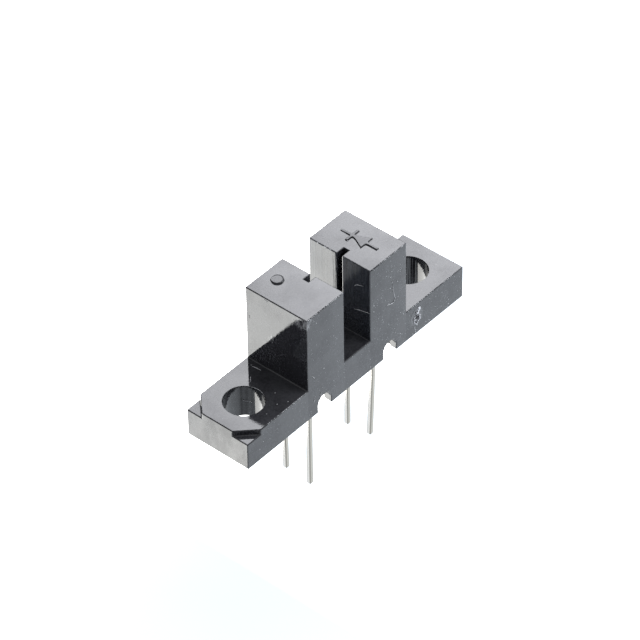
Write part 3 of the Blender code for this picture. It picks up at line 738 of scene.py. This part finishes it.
def plastic_gloss(g, look, s, satin):
    """Roughness, more in smudges and on dust, and strength of the reflection.

    The reflection is weaker in patches of film, to the right, in smears on the left end and in bands in the holes.
    """
    rough = g.math("MULTIPLY_ADD", s.up, satin, look.roughness)
    rough = g.math("MULTIPLY_ADD", g.span(s.patch, 0.55, 0.8), look.smudge, rough)
    rough = g.math("MAXIMUM", rough, g.times(s.speck, 0.8))
    clean = g.span(g.noise(s.plain, 420.0, 3.0, 0.6), 0.42, 0.66, 0.5, look.filmed)
    clean = g.times(clean, g.line(s.x, TOWER_EDGE, HOUSING_HIGH.x, 1.0, 0.92))
    end = g.times(s.left, g.less(s.x, HOUSING_LOW.x + 0.1 * MM))
    smear = g.span(g.noise(g.stretched((1.0, 1.0, 0.4)), 900.0, 3.0, 0.6), 0.36, 0.62, 1.0, 0.76)
    clean = g.times(clean, g.between(end, 1.0, smear))
    stripe = g.span(g.noise(s.upright, 3800.0), 0.46, 0.54, 0.5, 1.0)
    stripe = g.between(s.right, stripe, g.span(s.ribs, 0.42, 0.58, 2.2, 0.2))
    return rough, g.math("MULTIPLY_ADD", g.times(s.band, stripe), -0.2, clean)


def plastic_relief(g, look, s):
    """Slow sinks, tops arched both ways, the slope of the left tower's side, draw marks and grain."""
    across = g.line(s.y, FRONT, -FRONT)
    outer = g.less(g.math("ABSOLUTE", g.math("ADD", s.x, TOWER_EDGE)), 0.05 * MM)
    mark = g.times(g.noise(s.upright, 2600.0), s.hole)
    normal = None
    for height, depth in (
        (g.noise(s.plain, 230.0, 1.0, 0.4), look.wave),
        (arch(g, s.along), look.crown),
        (g.times(arch(g, across), s.up), look.cross_crown),
        (g.times(outer, s.left, s.y, -1.0), look.warp),
        (g.times(s.streak, s.steep), look.streak),
        (g.times(s.streak, s.slot), look.slot_streak),
        (g.between(s.right, mark, g.times(s.ribs, s.band, 0.6)), look.bore_streak),
        (g.noise(s.plain, 9000.0, 3.0, 0.6), look.grain),
    ):
        normal = g.bump(height, depth, normal)
    return normal


def black_plastic(look, name="housing_gloss", satin=0.0):
    """Glossy black moulding; satin is added to the roughness of a top that the mould left less glossy."""
    material, g = new_material(name)
    s = read_surface(g, look)
    rough, strength = plastic_gloss(g, look, s, satin)
    g.shade({
        "Base Color": plastic_colour(g, look, s), "Roughness": rough, "Specular IOR Level": strength,
        "Normal": plastic_relief(g, look, s), "IOR": 1.6,
    })
    return material


def mottled(name, waves, edges, first, second, depth, rough=None, tall=1.0, fixed=()):
    """A finish in two colours, which a soft pattern mixes between two of its values, the edges.

    waves holds the pattern's scale, detail and roughness, and a low tall draws it out upwards. The surface
    rises with the pattern by the depth, and rough holds the roughness where the pattern is low and high.
    """
    material, g = new_material(name)
    pattern = g.noise(g.stretched((1.0, 1.0, tall)), *waves)
    sockets = {"Base Color": g.blend(g.span(pattern, *edges), first, second), **dict(fixed)}
    if rough:
        sockets["Roughness"] = g.line(pattern, 0.3, 0.7, *rough)
    if depth:
        sockets["Normal"] = g.bump(pattern, depth)
    g.shade(sockets)
    return material


def torn_plastic_and_glints(look):
    """The same plastic where it is torn: rough, lighter and ridged, its pale colour partly painted highlights on
    the torn ridges.
    """
    pale = rgba(look.speck_colour, 1.5)
    waves = (11000.0, 4.0, 0.7)
    return mottled("torn_plastic_and_glints", waves, (0.4, 0.56), rgba(look.tint), pale, look.grain * 12, (0.2, 0.5))


def dusty_highlit_corner(look):
    """The plastic in an inner corner, where a film of dust gathers in patches, its light colour also a painted
    highlight along the fillet.
    """
    film = rgba(look.haze, 2.5)
    waves = (2500.0, 3.0, 0.7)
    return mottled("dusty_highlit_corner", waves, (0.3, 0.65), rgba(look.tint), film, look.grain * 4, (0.1, 0.4))


def dust_material(look):
    """Pale dust: matt, with cloudy variation."""
    dim, matt = rgba(look.tint, 0.6), {"Roughness": 0.8}
    return mottled("dust", (14000.0, 2.0, 0.6), (0.3, 0.7), dim, rgba(look.tint), 0.002 * MM, fixed=matt)


def epoxy(name, tint, flow, see_through):
    """Cast epoxy with soft flow marks; see_through is the share of light that passes."""
    clear = {"IOR": 1.55, "Transmission Weight": see_through}
    waves = (900.0, 3.0, 0.5)
    return mottled(name, waves, (0.35, 0.7), rgba(tint), rgba(tint, 0.8), flow * 4, (0.06, 0.16), 0.3, clear)


def small_metal(name, tint, scale):
    """Metal of a chip or wire, with fine mottling."""
    waves, metal = (scale, 2.0, 0.5), {"Metallic": 1.0}
    return mottled(name, waves, (0.4, 0.65), rgba(tint), rgba(tint, 0.6), 0.0, (0.15, 0.35), fixed=metal)


def tinned_metal(look):
    """Satin tin with fine drawn lines along the lead and cloudy dull patches, with faces that look along X painted
    lighter than faces that look along Y, and painted shade along the corners.
    """
    material, g = new_material("lead_tin")
    line = g.noise(g.stretched((1.0, 1.0, 0.04)), 14000.0, 3.0, 0.7)
    cloud = g.noise(g.stretched((1.0, 1.0, 0.4)), 1800.0, 3.0, 0.6)
    worn = g.times(g.span(line, 0.35, 0.7), g.span(cloud, 0.3, 0.75, 0.3, 1.0), 0.5)
    x, y = g.facing()[:2]
    # Painted light and shade: faces that look along X get the lighter colour, faces that look along Y the darker
    # one.
    faces_lit_and_shaded = g.blend(g.span(g.math("ABSOLUTE", y), 0.5, 0.9), rgba(look.rolled_and_lit), rgba(look.cut))
    drawn = g.blend(worn, faces_lit_and_shaded, rgba(look.dull))
    # Painted shade: slant is 1 along a lead's corners, which get the dark corner colour.
    slant = g.math("ABSOLUTE", g.times(x, y))
    g.shade({
        "Base Color": g.blend(g.span(slant, 0.1, 0.4), drawn, rgba(look.corner)),
        "Roughness": g.line(cloud, 0.3, 0.7, look.roughness - 0.05, look.roughness + 0.1),
        "Normal": g.bump(line, look.line), "Metallic": 1.0,
    })
    return material


def coat_nodes(material, names):
    """Puts a material on the carried-over parts with these names, in all their material slots."""
    for name in names:
        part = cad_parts[name]
        if not part.material_slots:
            part.data.materials.append(material)
        for slot in part.material_slots:
            slot.material = material


def shared_material(name, make, *values):
    """A material that was made before, or a new one."""
    return bpy.data.materials.get(name) or make(*values)


def satin_plastic(look):
    """The housing's plastic with less gloss on its tops, for the sign and the dot's cap."""
    return shared_material("sign_satin", black_plastic, look, "sign_satin", SATIN)


# Operators


class SWITCH_OT_finish_housing(bpy.types.Operator):
    """Gives the housing its glossy black plastic."""

    bl_idname = "switch.finish_housing"
    bl_label = "Finish the housing"

    def execute(self, context):
        look = context.scene.switch_looks.plastic
        coat_nodes(shared_material("housing_gloss", black_plastic, look), ["housing"])
        return {"FINISHED"}


class SWITCH_OT_finish_leads(bpy.types.Operator):
    """Gives the four leads their tin."""

    bl_idname = "switch.finish_leads"
    bl_label = "Finish the leads"

    def execute(self, context):
        look = context.scene.switch_looks.tin
        names = [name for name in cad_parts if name.endswith("_lead")]
        coat_nodes(shared_material("lead_tin", tinned_metal, look), names)
        return {"FINISHED"}


class SWITCH_OT_finish_packages(bpy.types.Operator):
    """Gives the packages, chips and wires inside the towers their epoxy and metal."""

    bl_idname = "switch.finish_packages"
    bl_label = "Finish the packages"

    def execute(self, context):
        look = context.scene.switch_looks.inner
        coat_nodes(epoxy("emitter_epoxy", look.clear, look.flow, 0.85), ["emitter_package"])
        coat_nodes(epoxy("detector_epoxy", look.dark, look.flow, 0.0), ["detector_package"])
        coat_nodes(small_metal("emitter_metal", look.metal, 9000.0), ["emitter_chip"])
        coat_nodes(small_metal("detector_silicon", look.silicon, 12000.0), ["detector_chip"])
        coat_nodes(small_metal("wire_gold", look.gold, 20000.0), ["emitter_bond_wire", "detector_bond_wire"])
        return {"FINISHED"}


class SWITCH_OT_add_sign(bpy.types.Operator):
    """Raises the diode sign on top of the emitter's tower."""

    bl_idname = "switch.add_sign"
    bl_label = "Add the diode sign"

    def execute(self, context):
        looks = context.scene.switch_looks
        add_piece("diode_sign", sign_shape(looks.sign), satin_plastic(looks.plastic))
        return {"FINISHED"}


class SWITCH_OT_add_scar(bpy.types.Operator):
    """Fills the mould gate's recess with its torn stub."""

    bl_idname = "switch.add_scar"
    bl_label = "Add the gate scar"

    def execute(self, context):
        looks = context.scene.switch_looks
        gloss = shared_material("housing_gloss", black_plastic, looks.plastic)
        # The torn plastic's pale colour is partly painted highlights on the torn bead and crumbs.
        torn = shared_material("torn_plastic_and_glints", torn_plastic_and_glints, looks.plastic)
        add_piece("gate_scar", scar_shape(looks.scar, depth=0.05 * MM), gloss)
        rng = np.random.default_rng(looks.scar.seed + 2)
        sizes = looks.scar.tear * np.array([1.0, 0.45, 0.5, 0.4])
        places = points_on("front", [(7.15, 2.34), (6.93, 1.34), (6.68, 1.92), (7.10, 1.76)])
        crumbs = [crumb_shape(spot, (part, 0.3 * part, part), rng) for spot, part in zip(places, sizes)]
        add_piece("gate_flash", joined([scar_rim_shape(looks.scar), *crumbs]), torn)
        return {"FINISHED"}


class SWITCH_OT_add_dot(bpy.types.Operator):
    """Caps the index dot with a round rim and fillets the housing's inner corners."""

    bl_idname = "switch.add_dot"
    bl_label = "Add the dot's cap and the corner fillets"

    def execute(self, context):
        looks = context.scene.switch_looks
        add_piece("dot_cap", cap_shape(looks.dot), satin_plastic(looks.plastic))
        inset = 0.1 * MM
        corners = []
        for side in (-1.0, 1.0):
            for x, out in ((side * TOWER_EDGE, side), (side * SLOT_HALF, -side)):
                start, end = (x, FRONT + inset, FLANGE_TOP), (x, HOUSING_HIGH.y - inset, FLANGE_TOP)
                corners.append(corner_shape(start, end, (out, 0, 0), (0, 0, 1), looks.dot.fillet))
        # The fillets' light film is partly a painted highlight along the inner corners.
        worn = shared_material("dusty_highlit_corner", dusty_highlit_corner, looks.plastic)
        add_piece("corner_fillets", joined(corners), worn)
        return {"FINISHED"}


FACES = {"front": (1, FRONT), "flange": (2, FLANGE_TOP), "slot": (0, SLOT_HALF), "side": (0, -TOWER_EDGE)}


def points_on(face, flat):
    """Points on a flat face of the housing, from pairs of the two other coordinates in millimetres.

    FACES holds the axis that each face looks along and its place there: the front, the flanges' tops, the
    slot's right wall and the detector tower's outer side.
    """
    axis, level = FACES[face]
    return np.insert(np.asarray(flat, float) * MM, axis, level, axis=1)


def hole_points(flat):
    """Points on the left hole's wall from pairs of a turn in degrees and Z in millimetres."""
    turn, height = np.radians(flat).T[0], np.asarray(flat, float).T[1] * MM
    return np.stack([HOLE_RADIUS * np.cos(turn) - HOLE_X, HOLE_RADIUS * np.sin(turn), height], axis=-1)


class SWITCH_OT_add_dust(bpy.types.Operator):
    """Lays dust fibres, crumbs and scuffs where the part has them."""

    bl_idname = "switch.add_dust"
    bl_label = "Add the dust"

    def execute(self, context):
        look = context.scene.switch_looks.dust
        rng = np.random.default_rng(look.seed)
        ahead, up, left = (0, -1, 0), (0, 0, 1), (-1, 0, 0)
        hair = [(4.03, 7.33), (4.12, 6.37), (4.33, 5.42), (4.07, 5.11), (3.55, 5.29), (3.35, 5.24)]
        fibres = [
            (points_on("front", hair), ahead),
            (points_on("front", [(-5.19, 4.19), (-5.07, 3.98), (-4.90, 3.82)]), ahead),
            (points_on("front", [(-4.94, 1.98), (-5.06, 1.45)]), ahead),
            (points_on("front", [(-4.24, 1.90), (-4.36, 1.52)]), ahead),
            (points_on("front", [(6.67, 0.98), (6.72, 0.5), (6.83, 0.1)]), ahead),
            (points_on("flange", [(-6.30, 2.04), (-6.23, 1.67), (-6.19, 1.18)]), up),
            (points_on("flange", [(-7.16, 1.37), (-7.69, 0.95)]), up),
            (points_on("slot", [(-1.46, 7.69), (-1.62, 7.90), (-1.90, 8.04), (-2.34, 8.15)]), left),
            (points_on("slot", [(-1.40, 5.37), (-2.2, 5.62), (-3.0, 5.79)]), left),
            (hole_points([(48.5, 1.67), (38, 1.53), (27, 1.48), (15.6, 1.47)]), (-0.85, -0.5, 0.0)),
        ]
        scratches = [
            (points_on("side", [(1.17, 9.84), (0.95, 9.82), (0.76, 9.72)]), left),
            (points_on("side", [(2.68, 7.5), (2.66, 7.3), (2.60, 7.1)]), left),
            (hole_points([(turn, 2.99) for turn in range(-30, 36, 6)]), up),
        ]
        threads = [fibre_shape(points, look.fibre, out) for points, out in fibres]
        threads = joined(threads + [fibre_shape(points, look.fibre * 0.5, out) for points, out in scratches])
        places = np.vstack([
            points_on("front", [(4.65, 5.40), (4.39, 1.88), (3.87, 8.42), (3.86, 7.84), (5.01, 7.82)]),
            points_on("front", [(4.60, 6.92), (-7.15, 0.12), (-9.9, 0.15), (-12.21, 0.65)]),
            points_on("flange", [(-6.21, 2.15), (-7.37, -1.22), (-7.46, -2.57), (-8.19, -2.13)]),
            points_on("flange", [(-9.48, -2.23)]),
            points_on("slot", [(2.12, 9.95), (1.45, 9.99), (1.3, 9.98), (1.0, 9.99), (0.85, 9.98)]),
        ])
        radii = look.crumb * rng.uniform(0.6, 1.2, (len(places), 3))
        crumbs = joined([crumb_shape(centre, radius, rng) for centre, radius in zip(places, radii)])
        material = shared_material("dust", dust_material, look)
        add_piece("dust_fibres", threads, material)
        add_piece("dust_crumbs", crumbs, material)
        return {"FINISHED"}


class SWITCH_OT_add_wear(bpy.types.Operator):
    """Adds light chips along the front edges of the towers and flanges."""

    bl_idname = "switch.add_wear"
    bl_label = "Add the edge wear"

    def execute(self, context):
        look = context.scene.switch_looks.dust
        rng = np.random.default_rng(look.seed + 1)
        spans = np.array([
            (-TOWER_EDGE, -SLOT_HALF, TOWER_TOP), (SLOT_HALF, TOWER_EDGE, TOWER_TOP),
            (HOUSING_LOW.x + 2 * MM, -TOWER_EDGE, FLANGE_TOP), (TOWER_EDGE, HOUSING_HIGH.x - MM, FLANGE_TOP),
        ])
        pick = rng.choice(len(spans), look.wear_count, p=[0.3, 0.3, 0.25, 0.15])
        start, end, height = spans[pick].T
        x = start + (end - start) * rng.uniform(0.03, 0.97, look.wear_count)
        inset = 0.03 * MM
        centres = np.stack([x, np.full(len(x), FRONT + inset), height - inset], axis=-1)
        radii = look.wear * rng.uniform(0.4, 1.0, (look.wear_count, 3)) * (1.6, 0.8, 0.8)
        chips = joined([crumb_shape(centre, radius, rng) for centre, radius in zip(centres, radii)])
        add_piece("edge_wear", chips, shared_material("dust", dust_material, look))
        return {"FINISHED"}


def studio_floor(look):
    """Matt floor that glows, less at its left, with a soft pool of stronger light behind the part.

    Its glow ends some way in front of the part, so that its near end is unlit.
    """
    material, g = new_material("studio_floor")
    spot = g.stretched()
    x, y = g.parts(spot)[:2]
    away = g.vector("DISTANCE", spot, (*look.pool_centre, 0.0))
    near, far, left = look.pool_edge, look.pool_edge + 7 * MM, look.left_edge
    light = g.math("ADD", g.line(y, near, far, look.pool_glow, look.pool_far),
                   g.line(x, -22 * MM, -13 * MM, 0.0, look.pool_right))
    pool = g.times(g.span(away, look.pool_inner, look.pool_outer, 1.0, 0.0), light,
                   g.span(y, near - 0.3 * MM, near + 0.3 * MM))
    plain = g.span(x, left - 0.5 * MM, left + 0.5 * MM, look.left_glow, look.floor_glow)
    ahead = g.vector("DOT_PRODUCT", spot, (-0.752, -0.66, 0.0))
    lit = g.span(ahead, look.floor_end, look.floor_end + 3 * MM, 1.0, 0.0)
    mottle = g.noise(spot, 300.0, 2.0)
    g.shade({
        "Base Color": g.blend(mottle, rgba(look.floor_tint), rgba(look.floor_tint, 0.97)),
        "Emission Strength": g.times(g.math("ADD", pool, plain), lit),
        "Emission Color": g.blend(g.math("DIVIDE", pool, look.pool_glow), rgba(look.cool), rgba(look.warm)),
        "Roughness": 0.9, "Specular IOR Level": 0.0,
    })
    return material


def studio_world(look):
    """Dim room with two soft boxes: each is a smooth spot round its direction, brightest in the middle."""
    world = bpy.data.worlds.new("studio")
    world.use_nodes = True
    world.node_tree.nodes.clear()
    g = Graph(world.node_tree)
    way = g.add("ShaderNodeTexCoord").outputs["Generated"]
    light = look.dim
    for direction, strength, inner, outer in (
        ((0.696, 0.299, 0.653), look.key, 0.0, 34.0),
        ((0.557, -0.672, 0.488), look.side, 8.0, 28.0),
    ):
        cosine = g.vector("DOT_PRODUCT", way, direction)
        spot = g.span(cosine, math.cos(math.radians(outer)), math.cos(math.radians(inner)), 0.0, strength)
        light = g.math("ADD", spot, light)
    room = g.add("ShaderNodeBackground", {"Color": (0.95, 0.96, 1.0, 1.0), "Strength": light})
    sky = g.add("ShaderNodeBackground", {"Color": (1.0, 1.0, 1.0, 1.0), "Strength": 1.0})
    seen = g.add("ShaderNodeLightPath").outputs["Is Camera Ray"]
    mixed = g.add("ShaderNodeMixShader", {0: seen, 1: room.outputs[0], 2: sky.outputs[0]})
    g.add("ShaderNodeOutputWorld", {"Surface": mixed.outputs[0]})
    return world


def camera_place(look):
    """Camera's matrix from its azimuth a, elevation e and roll r.

    Back is (sin a cos e, -cos a cos e, sin e), level right is (cos a, sin a, 0) and level up is back x
    right. The place is the target plus back times the distance plus the offset along right and up. The
    roll then turns right and up about back.
    """
    a, e, r = look.azimuth, look.elevation, look.roll
    back = Vector((math.sin(a) * math.cos(e), -math.cos(a) * math.cos(e), math.sin(e)))
    right = Vector((math.cos(a), math.sin(a), 0.0))
    up = back.cross(right)
    spot = Vector(look.target) + back * look.distance + right * look.offset[0] + up * look.offset[1]
    turned = right * math.cos(r) + up * math.sin(r)
    raised = up * math.cos(r) - right * math.sin(r)
    return Matrix.Translation(spot) @ Matrix((turned, raised, back)).transposed().to_4x4()


class SWITCH_OT_set_stage(bpy.types.Operator):
    """Makes the floor, the light and the camera."""

    bl_idname = "switch.set_stage"
    bl_label = "Set the stage"

    def execute(self, context):
        look = context.scene.switch_looks.stage
        half = look.floor_size / 2
        x, y = np.meshgrid(np.linspace(-half, half, 13), np.linspace(-half, half, 13), indexing="ij")
        top = CAD_BOX[0][2] - look.floor_gap
        shape = slab_shape(x, y, np.full_like(x, top), top - 10 * MM)
        add_piece("floor", shape, studio_floor(look), None)
        context.scene.world = studio_world(look)
        lens = bpy.data.cameras.new("camera")
        lens.lens = look.lens
        lens.sensor_width = 36.0
        lens.clip_start = 1 * MM
        camera = bpy.data.objects.new("camera", lens)
        camera.matrix_world = camera_place(look)
        context.scene.collection.objects.link(camera)
        context.scene.camera = camera
        context.scene.view_settings.view_transform = "Standard"
        return {"FINISHED"}


class SWITCH_PT_looks(bpy.types.Panel):
    """Lists the steps and their values in the 3D view's sidebar."""

    bl_idname = "SWITCH_PT_looks"
    bl_label = "Slotted optical switch"
    bl_space_type = "VIEW_3D"
    bl_region_type = "UI"
    bl_category = "Switch"

    def draw(self, context):
        looks = context.scene.switch_looks
        for steps, group in STEPS:
            box = self.layout.box()
            for step in steps:
                box.operator(step.bl_idname)
            for name in group.__annotations__:
                box.prop(getattr(looks, GROUPS[group]), name)


STEPS = (
    ((SWITCH_OT_finish_housing,), PlasticLook),
    ((SWITCH_OT_finish_leads,), TinLook),
    ((SWITCH_OT_finish_packages,), InnerLook),
    ((SWITCH_OT_add_sign,), SignShape),
    ((SWITCH_OT_add_scar,), ScarShape),
    ((SWITCH_OT_add_dot,), DotShape),
    ((SWITCH_OT_add_dust, SWITCH_OT_add_wear), DustShape),
    ((SWITCH_OT_set_stage,), StageLook),
)
GROUPS = {
    PlasticLook: "plastic", TinLook: "tin", InnerLook: "inner", SignShape: "sign", ScarShape: "scar",
    DotShape: "dot", DustShape: "dust", StageLook: "stage",
}
CLASSES = (*GROUPS, SwitchLooks, *(step for steps, group in STEPS for step in steps), SWITCH_PT_looks)


def register():
    """Registers the classes and gives each scene its values."""
    for each in CLASSES:
        bpy.utils.register_class(each)
    bpy.types.Scene.switch_looks = PointerProperty(type=SwitchLooks)


def unregister():
    """Takes the values and classes away again."""
    del bpy.types.Scene.switch_looks
    for each in reversed(CLASSES):
        bpy.utils.unregister_class(each)


def main():
    """Runs every step in order."""
    register()
    bpy.ops.switch.finish_housing()
    bpy.ops.switch.finish_leads()
    bpy.ops.switch.finish_packages()
    bpy.ops.switch.add_sign()
    bpy.ops.switch.add_scar()
    bpy.ops.switch.add_dot()
    bpy.ops.switch.add_dust()
    bpy.ops.switch.add_wear()
    bpy.ops.switch.set_stage()


if __name__ == "__main__":
    main()
